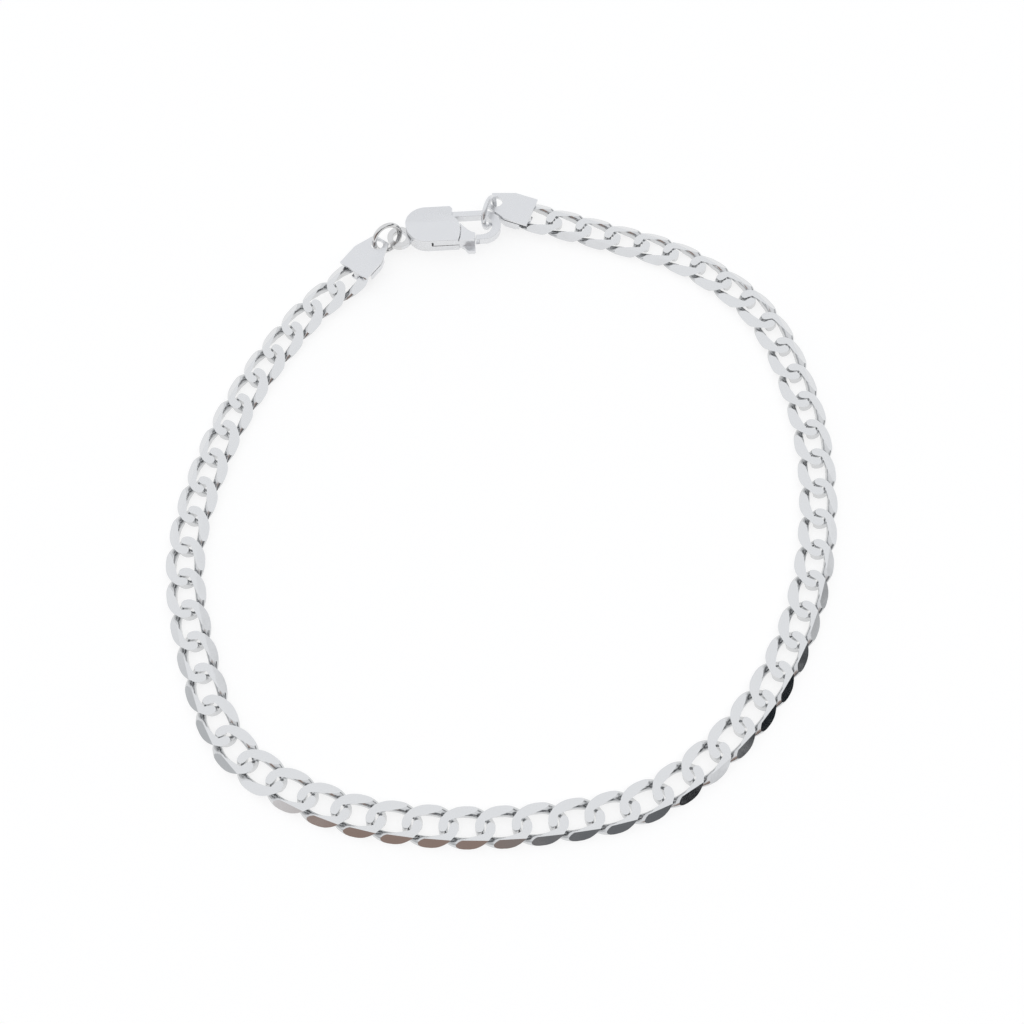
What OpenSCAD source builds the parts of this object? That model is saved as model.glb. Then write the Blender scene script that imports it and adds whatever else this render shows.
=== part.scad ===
// Curb link bracelet: a flat, diamond-cut curb chain of heavy silver wire that closes with
// a trigger clasp. It lies in an open loop on a table, as it is photographed.
// Each link is a flat oval of wire that rises and falls where it crosses its neighbours, and
// it is then ground flat above and below and bevelled along both edges. The two ends of the chain are
// pinned inside box-shaped end caps, and a jump ring ties each cap to the clasp.
// Frame: X to the right, Y away from the viewer, Z up, origin under the middle of the loop.

/* [Bracelet] */
// Length of the closed bracelet along its middle line
bracelet_length = 203; // [190:1:235]

/* [Chain links] */
// Distance from one link to the next
link_pitch = 3.25; // [3.2:0.05:3.6]
// Width of a link across its bevels
link_width = 3.74; // [3.7:0.02:4.2]
// Thickness of the chain between its ground faces
link_thickness = 0.96; // [0.92:0.01:1.0]
// Width of the ground flat on the upper face of the chain
flat_width = 2.35; // [2.1:0.05:2.7]
// Thickness of the wire where it bends round a link's ends
wire_end = 0.82; // [0.7:0.01:0.84]
// Thickness of the wire along a link's two sides
wire_side = 1.02; // [0.9:0.01:1.06]
// Height of the wire along a link's two sides, before it is ground
wire_tall = 1.14; // [1.06:0.01:1.16]
// Height of the wire where it bends round a link's ends, before it is ground
end_tall = 1.1; // [1.0:0.01:1.14]
// Rise and fall of the wire's middle line where links cross, before they are ground
link_rise = 0.87; // [0.84:0.01:0.9]
// Play between one link's end and the next link's end
link_play = 0.16; // [0.14:0.01:0.2]

/* [End caps] */
// Width of a cap between its long sides
cap_width = 3.5; // [3.2:0.05:3.9]
// Length of the box part that takes the chain
cap_box = 2.5; // [2.4:0.05:3.2]
// Length of the tapered tongue beyond the box
cap_tongue = 2.35; // [2.3:0.05:2.6]
// Width of the tongue at its end
cap_end_width = 1.8; // [1.7:0.05:2.1]
// Thickness of the sheet that the cap is folded from
cap_sheet = 0.28; // [0.25:0.01:0.34]
// Thickness of the tongue that the jump ring passes through
tongue_thickness = 0.45; // [0.4:0.01:0.5]
// Diameter of the pin through the last link
cap_pin = 0.6; // [0.5:0.02:0.64]
// Diameter of the hole for the jump ring
tongue_hole = 1.3; // [1.26:0.02:1.36]

/* [Jump rings] */
// Outer diameter of the ring at the clasp's eye
eye_ring_d = 3.6; // [3.55:0.01:3.66]
// Outer diameter of the ring that the hook closes on
hook_ring_d = 3.72; // [3.68:0.01:3.78]
// Thickness of the rings' wire
ring_wire = 0.52; // [0.46:0.01:0.54]

/* [Clasp] */
// Length of the clasp from the end of its plate to the end of its hook
clasp_length = 10.1; // [10.0:0.05:10.4]
// Width of the clasp's body
clasp_width = 4.4; // [4.2:0.02:4.5]
// Height of the clasp's body at its ridge
clasp_height = 2.3; // [2.25:0.01:2.5]
// Fall of the body's top from its ridge to its edges
roof_drop = 0.35; // [0.25:0.01:0.45]
// Thickness of the hook
hook_thickness = 0.92; // [0.86:0.01:0.94]
// Diameter of the round of the hook
hook_round = 3.66; // [3.62:0.01:3.68]
// Diameter of the opening inside the hook
hook_opening = 2.4; // [2.36:0.01:2.46]
// Diameter of the eye at the clasp's tail
eye_d = 2.6; // [2.5:0.02:2.7]
// Diameter of the hole in the eye
eye_hole = 1.44; // [1.42:0.01:1.5]
// Thickness of the lever's blade inside the body
blade = 0.62; // [0.5:0.01:0.66]
// Diameter of the rivet that the lever turns on
rivet_d = 0.7; // [0.6:0.01:0.8]
// Reach of the thumb lug beyond the body's side
lug_reach = 0.7; // [0.6:0.02:0.9]

/* [Hidden] */
$fn = 48;
silver = [0.86, 0.87, 0.88];
satin = [0.78, 0.79, 0.81];

// Round the loop as drawn: points of the chain's middle line between the two end caps,
// from the right cap clockwise to the left cap, chosen for a bracelet of drawn_length
drawn_length = 203;
route_points = [
    [9.2, 32.0], [18.2, 28.8], [25.6, 22.4], [29.0, 13.4], [30.0, 4.0], [28.8, -5.8],
    [25.4, -14.8], [19.8, -22.4], [12.0, -28.0], [2.6, -30.0], [-7.2, -30.2],
    [-16.6, -28.4], [-25.0, -23.4], [-29.2, -14.6], [-31.2, -5.0], [-29.8, 4.6],
    [-26.4, 13.8], [-21.4, 21.8]
];
clasp_place = [-11.3, 32.2];
clasp_turn = 3.5;
cap_right_turn = 160;
cap_left_turn = 54;
hook_ring_turn = 160.5;
hook_ring_lean = 83;
eye_ring_turn = 125;
eye_ring_lean = 75;
size_ratio = bracelet_length / drawn_length;

// Steps from the clasp's opening or eye to a ring's middle, and on to the hole in the cap's
// tongue: how many of the ring's radii, and which way
hook_to_ring = [1.053, 60.1];
ring_to_cap_right = [1.037, 61.6];
eye_to_ring = [0.867, 199.2];
ring_to_cap_left = [0.841, 218.8];

// Clearances
fit = 0.15;
running_fit = 0.1;
hair = 0.01;
past = 1;

// Clasp, in its own frame: X from the plate's end to the hook, Y away from the lever's lug
body_end_round = clasp_width / 2;
body_block = 2.0;
rim_height = 0.35;
rim_z = clasp_height - roof_drop - rim_height;
wall_inset = 0.12;
hook_mid = clasp_height * 0.54;
hook_bottom = hook_mid - hook_thickness / 2;
hook_x = clasp_length - hook_round / 2;
hook_y = -0.22;
opening_x = hook_x - 0.25;
opening_y = hook_y - 0.03;
hook_near = hook_y - hook_round / 2;
rivet_at = [clasp_length * 0.3, -clasp_width * 0.22273];
seam_r = clasp_length * 0.272;
tip_r = clasp_length * 0.43;
corner_turn = 46;
head_turn = 20;
plate_top_x = clasp_length / 2;
plate_corner = 0.25;
head_end_x = clasp_length * 0.73;
head_hollow = 1.6;
blade_boss = 1.7;
bore_play = 0.08;
blade_reach = seam_r + 0.37;
blade_top = 0.3;
blade_back = 0.15;
slot_x = rivet_at.x - blade_back - 2 * running_fit;
lug_z = [0.15, 0.65];
lug_points = [
    [0.1, -0.3], [0.1, 0], [0.35, 0.2], [0.65, 0.9], [0.75, 1], [1.42, 1], [1.5, 0.9], [1.5, -0.3]
];
eye_at = [-0.71, -0.99];
eye_z = [0.8, 1.35];
blade_mid = hook_mid;
lever_bottom = 0.35;
rivet_top = blade_mid + blade / 2 + running_fit;

// End cap, in its own frame: X from the mouth to the tongue's end
cap_gap = link_thickness + 2 * fit;
cap_height = cap_gap + 2 * cap_sheet;
cap_mid = cap_height / 2;
pin_edge = 0.1;
cap_pin_x = pin_edge + cap_pin / 2;
tongue_rim = 0.15;
hole_x = cap_box + cap_tongue - tongue_rim - tongue_hole / 2;
core_x = cap_pin_x + 2 * wire_end + link_play + fit;
core_inset = 0.3;
belt_mouth = 0.85;
belt_end = cap_box + 0.8;
belt_low = 0.6;
belt_groove = 0.14;
belt_high = cap_height - cap_sheet - belt_groove;
strap = 0.5;
tongue_inset = 0.03;

// Places along the loop. A jump ring spans from the clasp to the hole in a cap's tongue.
function unit(a) = [cos(a), sin(a)];
function turn(p, a) = [p.x * cos(a) - p.y * sin(a), p.x * sin(a) + p.y * cos(a)];
function stride(from, way, radius) = from + way[0] * radius * unit(way[1]);
clasp_at = size_ratio * clasp_place;
function on_clasp(p) = clasp_at + turn(p, clasp_turn);
hook_ring_mid = (hook_ring_d - ring_wire) / 2;
eye_ring_mid = (eye_ring_d - ring_wire) / 2;
hook_ring_at = stride(on_clasp([opening_x, opening_y]), hook_to_ring, hook_ring_mid);
eye_ring_at = stride(on_clasp(eye_at), eye_to_ring, eye_ring_mid);
hole_right = stride(hook_ring_at, ring_to_cap_right, hook_ring_mid);
hole_left = stride(eye_ring_at, ring_to_cap_left, eye_ring_mid);
cap_right_at = hole_right - hole_x * unit(cap_right_turn);
cap_left_at = hole_left - hole_x * unit(cap_left_turn);
pin_right = cap_right_at + cap_pin_x * unit(cap_right_turn);
pin_left = cap_left_at + cap_pin_x * unit(cap_left_turn);

// Smooth curve through the route's points, from pin to pin
stations = concat([pin_right], size_ratio * route_points, [pin_left]);
last = len(stations) - 1;
function slope(i) =
    i == 0 ? -unit(cap_right_turn) * norm(stations[1] - stations[0])
    : i == last ? unit(cap_left_turn) * norm(stations[last] - stations[last - 1])
    : (stations[i + 1] - stations[i - 1]) / 2;
function span(i, t) =
    let (a = stations[i], b = stations[i + 1], t2 = t * t, t3 = t2 * t)
    (2 * t3 - 3 * t2 + 1) * a + (t3 - 2 * t2 + t) * slope(i)
    + (3 * t2 - 2 * t3) * b + (t3 - t2) * slope(i + 1);
steps = 16;
trail = [for (i = [0 : last - 1]) for (k = [0 : steps - 1]) span(i, k / steps), stations[last]];
trail_end = len(trail) - 1;
along = [for (i = 0, s = 0; i <= trail_end;
    s = i < trail_end ? s + norm(trail[i + 1] - trail[i]) : s, i = i + 1) s];
trail_length = along[trail_end];
table_x = [for (i = [0 : trail_end]) [along[i], trail[i].x]];
table_y = [for (i = [0 : trail_end]) [along[i], trail[i].y]];
function at(s) = [lookup(s, table_x), lookup(s, table_y)];

// Links: as many as fit between the two pins at the wanted pitch
link_count = round((trail_length + link_play + cap_pin) / link_pitch);
pitch = (trail_length + link_play + cap_pin) / link_count;
link_half = (pitch + wire_end + link_play) / 2;
link_reach = link_half + wire_end / 2;
first_link = pitch / 2 - link_play / 2 - cap_pin / 2;
half_count = ceil(link_count / 2);
function link_s(k) = first_link + k * pitch;
lift_run = 3 * pitch;
function lift(s) =
    let (t = min(1, max(0, min(s, trail_length - s) - first_link) / lift_run))
    (cap_mid - link_thickness / 2) * (1 - t * t * (3 - 2 * t));
function link_at(k) =
    let (a = lift(link_s(k) - pitch / 2), b = lift(link_s(k) + pitch / 2))
    concat(at(link_s(k)),
        [link_thickness / 2 + max((a + b) / 2, link_reach * abs(a - b) / pitch)]);
function ahead(k) =
    let (s = link_s(k), a = at(s - pitch / 2), b = at(s + pitch / 2))
    concat(b - a, [lift(s + pitch / 2) - lift(s - pitch / 2)]);

// One link in its own frame: U along the chain, V across it, W up
squareness = 2.2;
section_squareness = 2.5;
grind_off = 0.01;
side_mid = link_width / 2 + grind_off - wire_side / 2;
end_power = 0.6;
side_power = 1.5;
skin = 0.1;
least_slope = 0.2;
rings = 20;
sides = 6;
function signed_power(c, e) = sign(c) * pow(abs(c), e);
function climb(f) = signed_power(sin(f), end_power) * signed_power(cos(f), side_power);
steepest = atan(sqrt(end_power / side_power));
function link_line(f) = [
    link_half * signed_power(cos(f), 2 / squareness),
    side_mid * signed_power(sin(f), 2 / squareness),
    -link_rise * climb(f) / climb(steepest)
];
bevel_run = (link_width - flat_width) / 2;
bevel_normal = [0, link_thickness / 2, bevel_run] / norm([link_thickness / 2, bevel_run]);
bevel_off = bevel_normal * [0, link_width / 2, 0];
planes = [
    for (w = [-1, 1]) [[0, 0, w], link_thickness / 2],
    for (v = [-1, 1], w = [-1, 1])
        [[0, v * bevel_normal.y, w * bevel_normal.z], bevel_off]
];
function ground(c, q) =
    let (keep = min([for (p = planes)
        p[0] * q > p[1] ? (p[1] - p[0] * c) / (p[0] * (q - c)) : 1]))
    c + keep * (q - c);
function seated(c, up) =
    let (s = c.z < 0 ? -1 : 1,
         over = max([for (p = planes) let (g = s * p[0] * up)
             g > least_slope ? (p[0] * c - p[1] + skin) / g : 0]))
    c - max(0, over) * s * up;
function link_ring(f) =
    let (c = link_line(f), d = link_line(f + 1) - link_line(f - 1), t = d / norm(d),
         o = cross(t, [0, 0, 1]), out = o / norm(o), up = cross(out, t), m = seated(c, up),
         side = pow(sin(f), 2),
         across = (wire_end + (wire_side - wire_end) * side) / 2,
         high = (end_tall + (wire_tall - end_tall) * side) / 2)
    [for (k = [0 : sides - 1]) let (g = 360 * k / sides)
        ground(m, c + across * signed_power(cos(g), 2 / section_squareness) * out
            + high * signed_power(sin(g), 2 / section_squareness) * up)];
link_points = [for (i = [0 : rings - 1]) each link_ring(360 * i / rings)];
link_faces = [
    for (i = [0 : rings - 1], k = [0 : sides - 1])
        let (a = i * sides, b = ((i + 1) % rings) * sides, n = (k + 1) % sides)
        each [[a + k, a + n, b + n], [a + k, b + n, b + k]]
];
function placed(k) =
    let (d = ahead(k), u = d / norm(d), v0 = cross([0, 0, 1], u), v = v0 / norm(v0),
         w = cross(u, v), c = link_at(k))
    [for (p = link_points) c + p.x * u + p.y * v + p.z * w];

// The loop is centred over the origin by its outermost links and cap corners
reach = link_width / 2;
rim = concat(
    [for (k = [0 : link_count - 1]) let (d = ahead(k), n = norm([d.x, d.y]),
        c = link_at(k), q = reach * [abs(d.y), abs(d.x)] / n) each [
            [c.x + q.x, c.y + q.y], [c.x - q.x, c.y - q.y]]],
    [for (x = [0, cap_box], y = [-1, 1])
        cap_right_at + turn([x, y * cap_width / 2], cap_right_turn)]
);
low = [min([for (p = rim) p.x]), min([for (p = rim) p.y])];
high = [max([for (p = rim) p.x]), max([for (p = rim) p.y])];
centre = -(low + high) / 2;

// Chain from one link to another, every link its own closed ring of wire
module chain(from, to) {
    count = rings * sides;
    polyhedron(
        points = [for (k = [from : to]) each placed(k)],
        faces = [for (k = [0 : to - from]) for (f = link_faces)
            [for (i = f) i + k * count]],
        convexity = 10);
}

module chain_right() {
    color(silver) translate(centre) chain(0, half_count - 1);
}

module chain_left() {
    color(silver) translate(centre) chain(half_count, link_count - 1);
}

// Outline of a cap's upper plate and tongue, between two places along it
module cap_outline(from, to, inset) {
    side = cap_width / 2 - inset;
    end_side = cap_end_width / 2 - inset;
    end_x = cap_box + cap_tongue - inset;
    intersection() {
        polygon([[0, -side], [cap_box, -side], [end_x, -end_side],
            [end_x, end_side], [cap_box, side], [0, side]]);
        translate([from, -cap_width]) square([to - from, 2 * cap_width]);
    }
}

// Belt round a cap below its upper plate, open at the mouth and cut away where the last link
// lies between the plates
module cap_belt() {
    inner = cap_width / 2 - cap_sheet;
    link_x = cap_pin_x - first_link;
    difference() {
        cap_outline(belt_mouth, belt_end, hair);
        translate([-past, -inner]) square([core_x + past, 2 * inner]);
        polygon([for (f = [0 : 15 : 345]) [
            link_x + (link_reach + fit) * signed_power(cos(f), 2 / squareness),
            (link_width / 2 + fit) * signed_power(sin(f), 2 / squareness)
        ]]);
    }
}

// End cap: an upper plate that runs out into a tongue with a hole, a belt and a core below
// it, a lower plate, and a pin through the last link near the mouth
module end_cap() {
    difference() {
        union() {
            linear_extrude(cap_sheet) cap_outline(core_x - 2 * strap, belt_end, core_inset);
            translate([pin_edge, -strap, 0]) cube([core_x, 2 * strap, cap_sheet]);
            translate([0, 0, belt_low]) linear_extrude(belt_high - belt_low) cap_belt();
            translate([0, 0, cap_sheet / 2]) linear_extrude(cap_height - cap_sheet)
                cap_outline(core_x, belt_end - hair, core_inset + hair);
            translate([0, 0, cap_height - cap_sheet])
                linear_extrude(cap_sheet) cap_outline(0, cap_box + cap_tongue, 0);
            translate([0, 0, cap_height - tongue_thickness])
                linear_extrude(tongue_thickness - cap_sheet / 2)
                cap_outline(belt_end - core_inset, cap_box + cap_tongue, tongue_inset);
            translate([cap_pin_x, 0, cap_sheet / 2])
                cylinder(d = cap_pin, h = cap_height - cap_sheet);
        }
        translate([hole_x, 0, -past]) cylinder(d = tongue_hole, h = cap_height + 2 * past);
    }
}

module end_cap_right() {
    color(satin) translate(concat(centre + cap_right_at, [0])) rotate(cap_right_turn) end_cap();
}

module end_cap_left() {
    color(satin) translate(concat(centre + cap_left_at, [0])) rotate(cap_left_turn) end_cap();
}

// Ring of round wire that stands on the table, leaning, between two holes
module jump_ring(at, turned, lean, mid) {
    translate(concat(centre + at, [mid * sin(lean) + ring_wire / 2 + hair]))
        rotate(turned) rotate([0, -lean, 0])
        rotate_extrude() translate([mid, 0]) circle(d = ring_wire, $fn = 24);
}

module jump_ring_hook() {
    color(silver) jump_ring(hook_ring_at, hook_ring_turn, hook_ring_lean, hook_ring_mid);
}

module jump_ring_eye() {
    color(silver) jump_ring(eye_ring_at, eye_ring_turn, eye_ring_lean, eye_ring_mid);
}

// Outline of the clasp's body as seen from above: round at the tail, cut at the other end
// by the arc that the lever's head sweeps. Below the plate's rim it is inset all round.
module body_outline(inset) {
    half = clasp_width / 2 - inset;
    intersection() {
        union() {
            translate([body_end_round, 0]) circle(r = body_end_round - inset, $fn = 96);
            translate([body_end_round, -clasp_width])
                square([clasp_length, 2 * clasp_width]);
        }
        translate([0, -half]) square([plate_top_x + past, 2 * half]);
        union() {
            translate(rivet_at) circle(r = seam_r, $fn = 96);
            translate([0, -half]) square([rivet_at.x, 2 * half]);
            polygon([[0, 0], rivet_at + seam_r * unit(corner_turn),
                [plate_top_x - inset, clasp_width * 0.42],
                [plate_top_x - plate_corner - inset, half], [0, half]]);
        }
    }
}

// Hook as seen from above: an arm along the far side, the round, and the tip that stops
// where the lever's end swings past
module hook_outline() {
    difference() {
        union() {
            translate([hook_x, hook_y]) circle(d = hook_round, $fn = 96);
            translate([body_block, hook_near]) square([hook_x - body_block, hook_round]);
        }
        translate([opening_x, opening_y]) circle(d = hook_opening, $fn = 96);
        translate([0, opening_y - hook_opening / 2]) square([opening_x, hook_opening]);
        intersection() {
            translate(rivet_at) circle(r = tip_r + running_fit, $fn = 96);
            translate([0, -clasp_width]) square([clasp_length, clasp_width]);
        }
    }
}

module clasp_frame() {
    translate(concat(centre + clasp_at, [0])) rotate(clasp_turn) children();
}

// Low roof over the body, with its ridge along the clasp
module roof() {
    side = clasp_width;
    eaves = clasp_height - 2 * roof_drop;
    translate([-clasp_length, 0, 0]) rotate([90, 0, 90]) linear_extrude(3 * clasp_length)
        polygon([[-side, -past], [side, -past], [side, eaves], [0, clasp_height],
            [-side, eaves]]);
}

module clasp_body() {
    slot = blade + 2 * running_fit;
    color(silver) clasp_frame() difference() {
        union() {
            linear_extrude(rim_z) body_outline(wall_inset);
            intersection() {
                translate([0, 0, rim_z]) linear_extrude(clasp_height - rim_z) body_outline(0);
                roof();
            }
            translate([0, 0, hook_bottom]) linear_extrude(hook_thickness) hook_outline();
            translate([eye_at.x, eye_at.y, eye_z[0]])
                cylinder(d = eye_d, h = eye_z[1] - eye_z[0]);
        }
        translate([eye_at.x, eye_at.y, -past])
            cylinder(d = eye_hole, h = clasp_height + 2 * past);
        translate([0, 0, blade_mid - slot / 2]) linear_extrude(slot) {
            translate(rivet_at) circle(d = blade_boss + 2 * running_fit);
            translate([slot_x, -clasp_width])
                square([clasp_length / 2, clasp_width + opening_y + hook_opening / 2]);
        }
        translate([rivet_at.x, rivet_at.y, -past])
            cylinder(d = rivet_d + running_fit, h = rivet_top + running_fit + past);
    }
}

module clasp_rivet() {
    color(silver) clasp_frame() translate([rivet_at.x, rivet_at.y, 0])
        cylinder(d = rivet_d, h = rivet_top);
}

// Blade of the lever, inside the body's slot
module blade_outline() {
    near = wall_inset - clasp_width / 2;
    difference() {
        union() {
            translate(rivet_at) circle(d = blade_boss);
            translate([rivet_at.x - blade_back, near])
                square([blade_back + blade_reach, rivet_at.y + blade_top - near]);
        }
        translate(rivet_at) circle(d = rivet_d + 2 * bore_play);
    }
}

// Ring-shaped field that the lever's end sweeps, between the body's seam and the hook's tip
module lever_field() {
    difference() {
        translate(rivet_at) circle(r = tip_r, $fn = 96);
        translate(rivet_at) circle(r = seam_r + running_fit, $fn = 96);
    }
}

// Head of the lever, level with the body. It bridges the hook's opening with a hollow curve.
module head_outline(inset) {
    near = -clasp_width / 2 + inset;
    end_y = opening_y - hook_opening / 2;
    start = rivet_at + seam_r * unit(head_turn);
    run = head_end_x - start.x;
    drop = start.y - end_y;
    intersection() {
        polygon([[rivet_at.x, near], rivet_at, start,
            for (t = [0.25 : 0.25 : 1])
                [start.x + run * t, end_y + drop * pow(1 - t, head_hollow)],
            [head_end_x, near]]);
        lever_field();
    }
}

// Thumb lug on the near side of the lever's head
module lug_outline() {
    near = wall_inset - clasp_width / 2;
    x = rivet_at.x + seam_r;
    polygon([for (p = lug_points) [x + p[0], near - p[1] * lug_reach]]);
}

module clasp_lever() {
    color(silver) clasp_frame() union() {
        translate([0, 0, blade_mid - blade / 2]) linear_extrude(blade) blade_outline();
        translate([0, 0, lever_bottom])
            linear_extrude(rim_z - lever_bottom) head_outline(wall_inset);
        translate([0, 0, lug_z[0]]) linear_extrude(lug_z[1] - lug_z[0]) lug_outline();
        intersection() {
            translate([0, 0, rim_z]) linear_extrude(clasp_height - rim_z) head_outline(0);
            roof();
        }
    }
}

chain_right();
chain_left();
end_cap_right();
end_cap_left();
jump_ring_hook();
jump_ring_eye();
clasp_body();
clasp_rivet();
clasp_lever();
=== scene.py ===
# %% [markdown]
# A diamond-cut curb bracelet
#
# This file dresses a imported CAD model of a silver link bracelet. The CAD model gives every
# size and place. Here the links get the smooth wire and the crisp ground facets of the real
# ones, the clasp and caps get softened edges, and everything gets its silver.
# We start by loading the CAD model and noting how big it is. Blender's unit is the metre, so
# a size in millimetres is multiplied by MM.

# %% Load the CAD model
import math

import bmesh
import bpy
import numpy as np
from mathutils import Matrix, Vector


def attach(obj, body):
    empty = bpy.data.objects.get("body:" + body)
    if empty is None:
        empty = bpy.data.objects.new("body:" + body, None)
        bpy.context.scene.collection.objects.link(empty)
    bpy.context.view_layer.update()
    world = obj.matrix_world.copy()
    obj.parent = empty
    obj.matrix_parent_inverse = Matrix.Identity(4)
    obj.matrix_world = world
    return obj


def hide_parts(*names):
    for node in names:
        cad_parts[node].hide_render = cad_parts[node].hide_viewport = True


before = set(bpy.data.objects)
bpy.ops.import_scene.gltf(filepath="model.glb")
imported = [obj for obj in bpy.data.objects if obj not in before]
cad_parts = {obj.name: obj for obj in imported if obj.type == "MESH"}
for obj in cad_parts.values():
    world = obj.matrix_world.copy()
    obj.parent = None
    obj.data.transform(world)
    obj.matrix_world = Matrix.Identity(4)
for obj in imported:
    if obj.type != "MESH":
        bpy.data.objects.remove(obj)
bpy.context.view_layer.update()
MM = 0.001
scene = bpy.context.scene
print("CAD nodes:", ", ".join(sorted(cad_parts)))

# %% [markdown]
# The camera
#
# The photograph looks down on the loop at 67 degrees above the table. We could move a camera
# by hand until the picture looks right, but a wrong distance can hide behind a wrong lens.
# So tilt, distance and lens were fitted together to the middles of the links' holes: the
# loop's width in the picture fixes the one, and how much smaller the far links look fixes
# the other. The camera looks at a point that lies a little beside the middle of the loop.

# %% Camera
CAMERA_ELEVATION = math.radians(67)
CAMERA_DISTANCE = 123.9 * MM
LOOK_AT = Vector((0.59, -2.13, 0.0)) * MM
# Lens and sensor are in millimetres by Blender's own habit
LENS = 44.65
SENSOR_WIDTH = 36
NEAREST_SEEN = 1 * MM

camera_data = bpy.data.cameras.new("camera")
camera_data.lens = LENS
camera_data.sensor_width = SENSOR_WIDTH
camera_data.clip_start = NEAREST_SEEN
camera = bpy.data.objects.new("camera", camera_data)
camera.location = LOOK_AT + CAMERA_DISTANCE * Vector(
    (0, -math.cos(CAMERA_ELEVATION), math.sin(CAMERA_ELEVATION))
)
camera.rotation_euler = (math.pi / 2 - CAMERA_ELEVATION, 0, 0)
scene.collection.objects.link(camera)
scene.camera = camera
print("camera at", [round(c / MM, 1) for c in camera.location], "mm")


# %% [markdown]
# Colours and nodes
#
# Colours are written as the hex values that a colour picker shows. Blender works with linear
# light, so one function turns them. Materials are built from nodes. Writing each node's
# settings and links line by line gets long, so one small function adds a node with both.

# %% Helpers for materials
def linear(hex_colour):
    """Turns an sRGB hex colour into linear red, green, blue and alpha, by the sRGB standard."""
    channels = [int(hex_colour[i : i + 2], 16) / 255 for i in (1, 3, 5)]
    return [c / 12.92 if c <= 0.04045 else ((c + 0.055) / 1.055) ** 2.4 for c in channels] + [1]


def add(tree, kind, settings=None, inputs=None):
    """Adds a node. settings are its own properties, and inputs are numbers or sockets."""
    node = tree.nodes.new(kind)
    for name, value in (settings or {}).items():
        setattr(node, name, value)
    for name, value in (inputs or {}).items():
        if isinstance(value, bpy.types.NodeSocket):
            tree.links.new(value, node.inputs[name])
        else:
            node.inputs[name].default_value = value
    return node


def blank_material(name):
    """A material with an unset Principled shader: the material, its tree and the shader."""
    material = bpy.data.materials.new(name)
    material.use_nodes = True
    tree = material.node_tree
    tree.nodes.clear()
    output = add(tree, "ShaderNodeOutputMaterial")
    shader = add(tree, "ShaderNodeBsdfPrincipled")
    tree.links.new(shader.outputs["BSDF"], output.inputs["Surface"])
    return material, tree, shader


print("a picker's mid grey, #808080, is", round(linear("#808080")[0], 3), "in linear light")


# %% [markdown]
# Silver that has been cut, drawn, brushed and polished
#
# All of the metal is sterling silver, but it shows four finishes. The facets were sliced by
# a diamond tool and are nearly mirrors. The wire between them was drawn and tumbled, so its
# shine is softer. The caps, the clasp and the ring in its hook were brushed to a satin, which
# spreads the light. The clasp's eye, the ring in it and the rivet were polished.
# A picture of scratches would do, but the metal would have to be unwrapped for it. Noise in
# the object's own coordinates needs no unwrapping and keeps its real size on every piece. So
# each finish is one recipe: slow clouds of noise vary the roughness, and finer marks of noise
# give the surface a relief.

# %% One recipe for silver
# Most of the noise lies between these values, which are stretched to the range of roughness
CLOUD_LOW, CLOUD_HIGH = 0.35, 0.65
# How many finer layers of noise lie over the clouds and over the marks
CLOUD_DETAIL, MARK_DETAIL = 3.0, 2.0


def silver(name, colour, roughness, patch, relief, grain):
    """Sterling silver. roughness is its lowest and highest value. In millimetres, patch is the
    size of its clouds, relief the depth of its marks and grain their size along X, Y and Z."""
    material, tree, shader = blank_material(name)
    shader.inputs["Base Color"].default_value = linear(colour)
    shader.inputs["Metallic"].default_value = 1.0
    place = add(tree, "ShaderNodeTexCoord")
    clouds = add(tree, "ShaderNodeTexNoise", {}, {
        "Vector": place.outputs["Object"], "Scale": 1 / (patch * MM), "Detail": CLOUD_DETAIL})
    rough = add(tree, "ShaderNodeMapRange", {}, {
        "Value": clouds.outputs["Fac"], "From Min": CLOUD_LOW, "From Max": CLOUD_HIGH,
        "To Min": roughness[0], "To Max": roughness[1]})
    tree.links.new(rough.outputs["Result"], shader.inputs["Roughness"])
    stretch = add(tree, "ShaderNodeMapping", {}, {
        "Vector": place.outputs["Object"], "Scale": [1 / (g * MM) for g in grain]})
    marks = add(tree, "ShaderNodeTexNoise", {}, {
        "Vector": stretch.outputs["Vector"], "Scale": 1.0, "Detail": MARK_DETAIL})
    bump = add(tree, "ShaderNodeBump", {}, {
        "Height": marks.outputs["Fac"], "Strength": 1.0, "Distance": relief * MM})
    tree.links.new(bump.outputs["Normal"], shader.inputs["Normal"])
    return material


print("noise from", CLOUD_LOW, "to", CLOUD_HIGH, "covers a finish's range of roughness")

# %% Four finishes
# A pixel of the picture covers about 0.1 mm. Real polishing and brush marks are far finer
# than that and wouldn't show, so the marks are drawn 0.15 mm wide or more.
facet_silver = silver("diamond_cut_silver", "#e2e3e4", roughness=(0.10, 0.16), patch=1.5,
                      relief=0.0008, grain=(0.4, 0.4, 0.4))
wire_silver = silver("tumbled_wire_silver", "#d6d7d8", roughness=(0.14, 0.22), patch=0.8,
                     relief=0.0012, grain=(0.25, 0.25, 0.25))
satin_silver = silver("satin_brushed_silver", "#e3e4e6", roughness=(0.24, 0.34), patch=1.6,
                      relief=0.0022, grain=(2.0, 0.15, 0.8))
ring_silver = silver("polished_ring_silver", "#dbdbdb", roughness=(0.08, 0.14), patch=0.7,
                     relief=0.0008, grain=(0.3, 0.3, 0.3))
print("silver finishes:", facet_silver.name, wire_silver.name, satin_silver.name, ring_silver.name)

# %% [markdown]
# One link, drawn as bent wire
#
# A real curb link starts as an oval ring of wire. It is twisted, so that at each end one side
# rises over the next link's wire and the other side dives under it. A curve with a bevel
# would be quick, but its section grows in width and height together, and this wire gets
# wider along its sides but hardly taller. So we draw the middle of the wire as a rounded oval
# that rises and falls, and sweep an upright oval section along it. The sizes are those of the
# CAD model, but with many more steps, so the wire is smooth.

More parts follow.
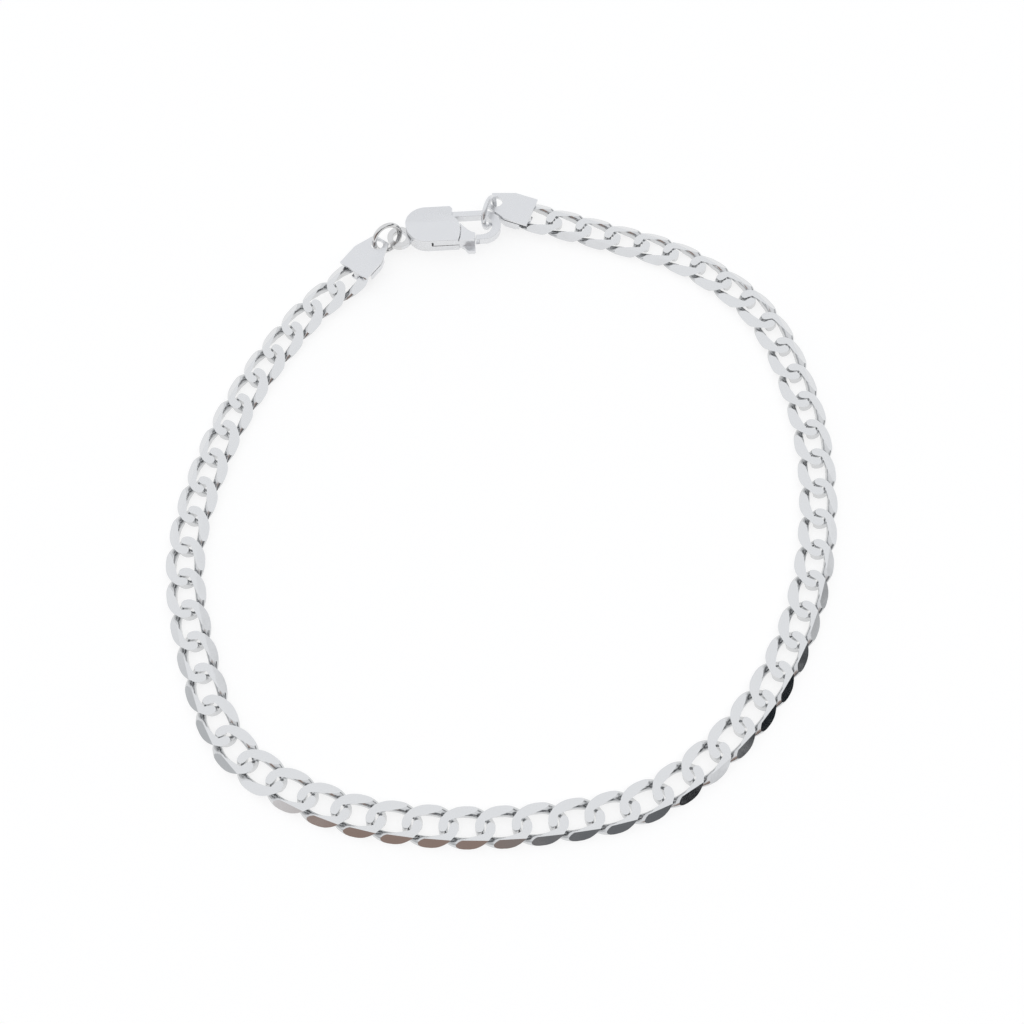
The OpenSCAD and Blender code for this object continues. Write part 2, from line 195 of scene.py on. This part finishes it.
# %% Sizes of a link, in millimetres
# The step from one link to the next, and the play between one link's end and the next one's
PITCH, PLAY = 3.224, 0.16
# Width and height of the wire before it is ground, at the link's ends and along its sides
WIRE_END, WIRE_SIDE = 0.82, 1.02
TALL_END, TALL_SIDE = 1.10, 1.14
# The ground link, and the flat on its top between the two bevels
LINK_WIDTH, LINK_THICK, FLAT_WIDTH = 3.74, 0.96, 2.35
# How far the wire stands past the link's width before it is ground
GRIND_OFF = 0.01
# From the link's middle to the middle of the wire, at its ends and at its sides
LINK_HALF = (PITCH + WIRE_END + PLAY) / 2
SIDE_MID = LINK_WIDTH / 2 + GRIND_OFF - WIRE_SIDE / 2
# Rise and fall of the wire's middle, and the powers that place them towards the ends
RISE, END_POWER, SIDE_POWER = 0.87, 0.6, 1.5
# How square the oval and the wire's section are; at 2 they would be true ellipses
SQUARENESS, SECTION_SQUARENESS = 2.2, 2.5
# Loops of vertices round the link, and vertices in each loop
WIRE_STEPS, WIRE_SIDES = 80, 20
print("link", round(2 * LINK_HALF + WIRE_END, 2), "x", LINK_WIDTH, "x", LINK_THICK, "mm")

# %% The middle line of the wire
# The turn from a link's tip at which climb is greatest
HIGHEST_AT = math.atan(math.sqrt(END_POWER / SIDE_POWER))


def signed_power(c, power):
    """Raises a number to a power, but keeps its sign."""
    return math.copysign(abs(c) ** power, c)


def climb(turn):
    """How the wire rises and falls round the link, not yet scaled to RISE."""
    return signed_power(math.sin(turn), END_POWER) * signed_power(math.cos(turn), SIDE_POWER)


def wire_middle(turn):
    """A point on the middle line of a link's wire, in millimetres."""
    u = signed_power(math.cos(turn), 2 / SQUARENESS)
    v = signed_power(math.sin(turn), 2 / SQUARENESS)
    return Vector((LINK_HALF * u, SIDE_MID * v, -RISE * climb(turn) / climb(HIGHEST_AT)))


print("the wire is highest at a turn of", round(math.degrees(HIGHEST_AT)), "degrees from a tip")

# %% Sweep the wire's section
# The wire's direction is measured over this much of a turn to either side
SMALL_TURN = 0.01


def skin(solid, loops):
    """Closes a ring of vertex loops with smooth faces from each loop to the next."""
    for i, loop in enumerate(loops):
        ahead = loops[(i + 1) % len(loops)]
        for k in range(len(loop)):
            n = (k + 1) % len(loop)
            face = solid.faces.new((loop[k], loop[n], ahead[n], ahead[k]))
            face.smooth = True


def bent_wire():
    """The closed ring of wire before it is ground, as a bmesh in millimetres."""
    wire = bmesh.new()
    loops = []
    for i in range(WIRE_STEPS):
        # Half a step off, so that no loop lies on the oval's tips, where its powers bend most
        turn = 2 * math.pi * (i + 0.5) / WIRE_STEPS
        middle = wire_middle(turn)
        along = (wire_middle(turn + SMALL_TURN) - wire_middle(turn - SMALL_TURN)).normalized()
        out = along.cross(Vector((0, 0, 1))).normalized()
        up = out.cross(along)
        side = math.sin(turn) ** 2
        wide = (WIRE_END + (WIRE_SIDE - WIRE_END) * side) / 2
        tall = (TALL_END + (TALL_SIDE - TALL_END) * side) / 2
        loop = []
        for k in range(WIRE_SIDES):
            spoke = 2 * math.pi * k / WIRE_SIDES
            across = wide * signed_power(math.cos(spoke), 2 / SECTION_SQUARENESS)
            high = tall * signed_power(math.sin(spoke), 2 / SECTION_SQUARENESS)
            loop.append(wire.verts.new(middle + out * across + up * high))
        loops.append(loop)
    skin(wire, loops)
    wire.normal_update()
    return wire


print("the wire has", WIRE_STEPS, "loops of", WIRE_SIDES, "corners")

# %% [markdown]
# Grinding the facets
#
# The finished chain is ground flat above and below, then cut along both edges, which leaves
# six flat planes round it. Boolean cuts with six boxes would give them too, but more slowly.
# We do what the tool does: slice the wire with each plane, throw away what lies outside, and
# close the cut with a flat face. The cut's edges are marked sharp, so light breaks there as
# it does on the real chain.

# %% Grind one link
# Vertices this near to a plane count as on it, in millimetres
ON_PLANE = 1e-5
# The link's second material; the first one, in slot 0, is the wire's
FACET_SLOT = 1


def grinding_planes():
    """The planes that a link is ground to: a normal, and the plane's distance in mm."""
    planes = [(Vector((0, 0, side)), LINK_THICK / 2) for side in (1, -1)]
    run = (LINK_WIDTH - FLAT_WIDTH) / 2
    bevel = Vector((0, LINK_THICK / 2, run)).normalized()
    reach = bevel.y * LINK_WIDTH / 2
    for v in (1, -1):
        for w in (1, -1):
            planes.append((Vector((0, v * bevel.y, w * bevel.z)), reach))
    return planes


def ground_link():
    """One finished link as a mesh in millimetres, with its facets in a slot of their own."""
    link = bent_wire()
    for normal, distance in grinding_planes():
        cut = bmesh.ops.bisect_plane(
            link, geom=link.verts[:] + link.edges[:] + link.faces[:], dist=ON_PLANE,
            plane_co=normal * distance, plane_no=normal, clear_outer=True)
        rim = [g for g in cut["geom_cut"] if isinstance(g, bmesh.types.BMEdge)]
        filled = bmesh.ops.holes_fill(link, edges=rim, sides=0)
        for face in filled["faces"]:
            face.material_index = FACET_SLOT
            face.smooth = False
            for edge in face.edges:
                edge.smooth = False
    bmesh.ops.recalc_face_normals(link, faces=link.faces)
    mesh = bpy.data.meshes.new("ground_link")
    link.to_mesh(mesh)
    link.free()
    return mesh


link_mesh = ground_link()
print("one link:", len(link_mesh.polygons), "faces,",
      sum(p.material_index == FACET_SLOT for p in link_mesh.polygons), "of them ground flat")


# %% [markdown]
# Laying the links
#
# The CAD model already holds every link where it lies, as a coarse ring. An Array along a
# curve would bend the links and stray from those places, so we don't repeat the route.
# Instead we take each loose ring of the CAD chain, find its middle and its long and short
# directions, and lay the fine link over it. The directions come from the way the ring's
# surface is spread: it is longest along the link and thinnest across its thickness.

# %% Split the chain into its rings
# CAD meshes come with their faces apart; corners this near to each other are one corner
WELD = 0.002 * MM


def loose_rings(node):
    """Splits a CAD node into its loose rings. Each is a list of its faces' middles and areas."""
    coarse = bmesh.new()
    coarse.from_mesh(node.data)
    bmesh.ops.remove_doubles(coarse, verts=coarse.verts, dist=WELD)
    seen = set()
    rings = []
    for start in coarse.faces:
        if start in seen:
            continue
        seen.add(start)
        ring, waiting = [], [start]
        while waiting:
            face = waiting.pop()
            ring.append((face.calc_center_median(), face.calc_area()))
            for vert in face.verts:
                for near in vert.link_faces:
                    if near not in seen:
                        seen.add(near)
                        waiting.append(near)
        rings.append(ring)
    coarse.free()
    return rings


chain_rings = {name: loose_rings(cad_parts[name]) for name in ("chain_right", "chain_left")}
print("CAD links:", {name: len(rings) for name, rings in chain_rings.items()})


# %% Measure a ring
def ring_place(ring):
    """The place and turn of a ring as a matrix, which also turns millimetres to metres."""
    points = np.array([tuple(middle) for middle, _ in ring])
    areas = np.array([area for _, area in ring])
    centre = np.average(points, axis=0, weights=areas)
    spread = np.cov((points - centre).T, aweights=areas)
    _, axes = np.linalg.eigh(spread)
    along, up = Vector(axes[:, 2]), Vector(axes[:, 0])
    if up.z < 0:
        up = -up
    across = up.cross(along)
    turn = Matrix((along, across, up)).transposed().to_4x4()
    return Matrix.Translation(Vector(centre)) @ turn @ Matrix.Scale(MM, 4)


first_link = ring_place(chain_rings["chain_right"][0]).to_translation()
print("a link's middle at", [round(c / MM, 1) for c in first_link], "mm")


# %% Lay the fine links
def fine_chain(name, node_name):
    """Lays fine links over one half of the CAD chain, joined into one piece."""
    chain = bmesh.new()
    for ring in chain_rings[node_name]:
        first = len(chain.verts)
        chain.from_mesh(link_mesh)
        chain.verts.ensure_lookup_table()
        bmesh.ops.transform(chain, matrix=ring_place(ring), verts=chain.verts[first:])
    mesh = bpy.data.meshes.new(name)
    chain.to_mesh(mesh)
    chain.free()
    mesh.materials.append(wire_silver)
    mesh.materials.append(facet_silver)
    piece = bpy.data.objects.new(name, mesh)
    scene.collection.objects.link(piece)
    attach(piece, "bracelet")
    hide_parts(node_name)
    print(name, "has", len(mesh.polygons), "faces")


fine_chain("curb_chain_right", "chain_right")
fine_chain("curb_chain_left", "chain_left")


# %% [markdown]
# Softened edges
#
# Pressed and cast silver never has a knife edge: barrel polishing rounds it by a few
# hundredths of a millimetre, and that line of light is what makes a small part look real.
# Rounding in the CAD model would cost it many small faces that only the eye needs. So for
# the caps, the clasp and the lever we copy the CAD piece and let a Bevel modifier round each
# hard edge, and a Weighted Normal modifier keep the flat faces flat.

# %% Soften the caps and the clasp
# Faces that meet flatter than the first angle become one, and edges sharper than the second
# are rounded, in so many steps
ONE_FACE = math.radians(1)
HARD_EDGE = math.radians(35)
ROUND_STEPS = 3


def softened(name, node_name, body, round_mm, material):
    """A copy of a CAD piece with its hard edges rounded."""
    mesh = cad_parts[node_name].data.copy()
    mesh.name = name
    cad = bmesh.new()
    cad.from_mesh(mesh)
    bmesh.ops.remove_doubles(cad, verts=cad.verts, dist=WELD)
    bmesh.ops.dissolve_limit(cad, angle_limit=ONE_FACE, verts=cad.verts, edges=cad.edges)
    for face in cad.faces:
        face.smooth = True
    cad.to_mesh(mesh)
    cad.free()
    mesh.materials.clear()
    mesh.materials.append(material)
    piece = bpy.data.objects.new(name, mesh)
    scene.collection.objects.link(piece)
    bevel = piece.modifiers.new("rounded edges", "BEVEL")
    bevel.width = round_mm * MM
    bevel.segments = ROUND_STEPS
    bevel.limit_method = "ANGLE"
    bevel.angle_limit = HARD_EDGE
    bevel.use_clamp_overlap = True
    bevel.harden_normals = True
    weigh = piece.modifiers.new("flat faces", "WEIGHTED_NORMAL")
    weigh.keep_sharp = True
    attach(piece, body)
    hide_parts(node_name)
    print(name, "softened by", round_mm, "mm")
    return piece


softened("cap_right", "end_cap_right", "bracelet", 0.05, satin_silver)
softened("cap_left", "end_cap_left", "bracelet", 0.05, satin_silver)
clasp = softened("trigger_clasp", "clasp_body", "bracelet", 0.10, satin_silver)
softened("trigger_lever", "clasp_lever", "lever", 0.06, satin_silver)
# The rivet's CAD shape is right as it is and only gets its silver
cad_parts["clasp_rivet"].data.materials[0] = ring_silver


# %% [markdown]
# Jump rings
#
# A jump ring is a short piece of round wire bent to a circle. Smooth shading alone would
# leave the CAD ring's corners in its outline, so we sweep a finer ring over it. Its middle,
# size and lean are measured on the CAD ring, in the same way as the links. The ring in the
# hook is as satin as the clasp, and the ring in the eye is polished.

# %% One round ring
# Loops of vertices round the ring, and vertices in each loop
RING_STEPS, RING_SIDES = 96, 24


def round_ring(middle_radius, half_wire):
    """A torus round Z as a bmesh, in metres."""
    torus = bmesh.new()
    loops = []
    for i in range(RING_STEPS):
        turn = 2 * math.pi * i / RING_STEPS
        spoke = Vector((math.cos(turn), math.sin(turn), 0))
        loop = []
        for k in range(RING_SIDES):
            bend = 2 * math.pi * k / RING_SIDES
            out = spoke * (middle_radius + half_wire * math.cos(bend))
            up = Vector((0, 0, half_wire * math.sin(bend)))
            loop.append(torus.verts.new(out + up))
        loops.append(loop)
    skin(torus, loops)
    bmesh.ops.recalc_face_normals(torus, faces=torus.faces)
    return torus


print("a ring has", RING_STEPS * RING_SIDES, "faces")


# %% Lay the jump rings
def fine_ring(name, node_name, finish):
    """A smooth ring laid over a CAD ring."""
    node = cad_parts[node_name]
    place = ring_place(loose_rings(node)[0])
    axis = place.to_3x3() @ Vector((0, 0, 1 / MM))
    middle = place.to_translation()
    corners = [v.co - middle for v in node.data.vertices]
    half_wire = max(abs(c.dot(axis)) for c in corners)
    outer = max(c.length for c in corners)
    torus = round_ring(outer - half_wire, half_wire)
    turn = axis.to_track_quat("Z", "Y").to_matrix().to_4x4()
    bmesh.ops.transform(torus, matrix=Matrix.Translation(middle) @ turn, verts=torus.verts)
    mesh = bpy.data.meshes.new(name)
    torus.to_mesh(mesh)
    torus.free()
    mesh.materials.append(finish)
    piece = bpy.data.objects.new(name, mesh)
    scene.collection.objects.link(piece)
    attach(piece, "bracelet")
    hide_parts(node_name)
    print(name, "outer diameter", round(2 * outer / MM, 2), "wire", round(2 * half_wire / MM, 2))
    return piece


fine_ring("hook_side_ring", "jump_ring_hook", satin_silver)
eye_ring = fine_ring("eye_side_ring", "jump_ring_eye", ring_silver)

# %% [markdown]
# The clasp's eye
#
# The small eye at the clasp's tail is too narrow for the brush that made the plate satin, so
# it keeps the shine of the polished rings. It could be a piece of its own, but the real eye
# is cast in one with the plate, so it stays a part of the clasp's mesh. We find its faces by
# their distance from the jump ring and give them the ring's silver.

# %% Polish the eye
# How far the eye's faces lie at most from the clasp's tail and from the ring's middle, and
# how high they lie at most above the table
EYE_REACH = 1.75 * MM
EYE_TOP = 1.4 * MM
# The clasp's second material; the first one, in slot 0, is the satin
POLISHED_SLOT = 1

clasp.data.materials.append(ring_silver)
ring_middle = sum((v.co for v in eye_ring.data.vertices), Vector()) / len(eye_ring.data.vertices)
tail_x = min(v.co.x for v in clasp.data.vertices)
eye_faces = [
    face for face in clasp.data.polygons
    if face.center.z < EYE_TOP and face.center.x < tail_x + EYE_REACH
    and (face.center - ring_middle).xy.length < EYE_REACH]
for face in eye_faces:
    face.material_index = POLISHED_SLOT
print("eye faces:", len(eye_faces))

# %% [markdown]
# Table and light
#
# Jewellery is photographed on a white light table inside a tent of white cloth. The table
# glows a little, so shadows almost vanish. Silver has hardly any colour of its own: it shows
# what is round it, and in an all-white tent it would look like paper. So dark and grey cards
# are held beside the camera, and their reflections draw the dark lines on the steep sides of
# the wire. Lamps and real cards could stand in the scene, but other views would see them.
# So we build the same thing as a sky: white, with a few soft round patches in it. The
# patches show only in the silver; looked at directly, the sky is plain white tent cloth.

# %% Table
# In metres, so wide that the table's edge lies far behind the bracelet
TABLE_HALF = 2.0
# A hair below the links, so that they don't share a plane with the paper
TABLE_DROP = 0.02 * MM
# The paper is matt. Its grey scatters the tent's light, and its glow makes up the white.
PAPER_COLOUR, PAPER_ROUGHNESS, PAPER_GLOW = "#969696", 0.9, 0.75

corners = [(x * TABLE_HALF, y * TABLE_HALF, -TABLE_DROP)
           for x, y in ((-1, -1), (1, -1), (1, 1), (-1, 1))]
table_mesh = bpy.data.meshes.new("table")
table_mesh.from_pydata(corners, [], [(0, 1, 2, 3)])
table_paper, _, paper_shader = blank_material("white_table_paper")
paper_shader.inputs["Base Color"].default_value = linear(PAPER_COLOUR)
paper_shader.inputs["Roughness"].default_value = PAPER_ROUGHNESS
paper_shader.inputs["Specular IOR Level"].default_value = 0.0
paper_shader.inputs["Emission Color"].default_value = linear("#ffffff")
paper_shader.inputs["Emission Strength"].default_value = PAPER_GLOW
table_mesh.materials.append(table_paper)
table = bpy.data.objects.new("table", table_mesh)
scene.collection.objects.link(table)
print("table", 2 * TABLE_HALF, "m wide,", TABLE_DROP / MM, "mm below the links")

# %% Sky
# Standard shows every colour as it is, with no curve laid over it
scene.view_settings.view_transform = "Standard"
world = bpy.data.worlds.new("studio")
scene.world = world
world.use_nodes = True
sky = world.node_tree
sky.nodes.clear()
looking = add(sky, "ShaderNodeTexCoord").outputs["Generated"]
# What the silver sees between the patches, and what the camera sees of the sky
TENT_LIGHT, TENT_CLOTH = "#f8f9fb", "#fdfdfd"
print("tent light", TENT_LIGHT, "and tent cloth", TENT_CLOTH)

# %% Cards and flags
# A Mix node has sockets for several kinds of data; these are the ones for colours
FACTOR, COLOUR_A, COLOUR_B, MIXED = 0, 6, 7, 2


def lay_patch(colour, azimuth, elevation, radius, softness, patch_colour):
    """Lays a round, soft-edged patch over the sky's colour. All angles are in degrees."""
    turn, lift = math.radians(azimuth), math.radians(elevation)
    middle = (math.cos(lift) * math.cos(turn), math.cos(lift) * math.sin(turn), math.sin(lift))
    near = add(sky, "ShaderNodeVectorMath", {"operation": "DOT_PRODUCT"}, {0: looking, 1: middle})
    cover = add(sky, "ShaderNodeMapRange", {"interpolation_type": "SMOOTHSTEP"}, {
        "Value": near.outputs["Value"],
        "From Min": math.cos(math.radians(radius + softness)),
        "From Max": math.cos(math.radians(max(radius - softness, 0)))})
    both = add(sky, "ShaderNodeMix", {"data_type": "RGBA"}, {
        FACTOR: cover.outputs["Result"], COLOUR_A: colour, COLOUR_B: linear(patch_colour)})
    return both.outputs[MIXED]


# What it is, azimuth, elevation, radius, softness, colour; a later one lies over the others.
# An azimuth of 0 is at the right of the picture, and -90 is towards the viewer.
PATCHES = [
    ("black card below the table's edge", -72, -38, 55, 4, "#0d0d0d"),
    ("black card on the right edge", -38, -2, 16, 4, "#141516"),
    ("pale flag on the left", -165, 15, 15, 8, "#c4c6c8"),
    ("warm grey card", -105, 28, 21, 7, "#97837a"),
    ("grey flag", -66, 27, 17, 5, "#6f7174"),
    ("narrow black flag", -45, 26, 7, 3, "#1c1e22"),
    ("black flag", -17, 19, 13, 4, "#1a1f23"),
    ("slim dark flag", 6, 19, 6, 5, "#2c2f32"),
    ("slim dark flag, further round", 22, 20, 6, 4, "#2c2f32"),
    ("slim dark flag, at the right", 37, 19, 5, 4, "#2c2f32"),
    ("pale card behind the clasp", 90, 33, 14, 8, "#f0f1f3"),
]

reflected = add(sky, "ShaderNodeRGB").outputs[0]
reflected.default_value = linear(TENT_LIGHT)
for _, azimuth, elevation, radius, softness, patch_colour in PATCHES:
    reflected = lay_patch(reflected, azimuth, elevation, radius, softness, patch_colour)
seen_directly = add(sky, "ShaderNodeLightPath").outputs["Is Camera Ray"]
tent = add(sky, "ShaderNodeMix", {"data_type": "RGBA"}, {
    FACTOR: seen_directly, COLOUR_A: reflected, COLOUR_B: linear(TENT_CLOTH)})
light = add(sky, "ShaderNodeBackground", {}, {"Color": tent.outputs[MIXED], "Strength": 1.0})
sky_output = add(sky, "ShaderNodeOutputWorld")
sky.links.new(light.outputs["Background"], sky_output.inputs["Surface"])
print("cards and flags:", ", ".join(patch[0] for patch in PATCHES))
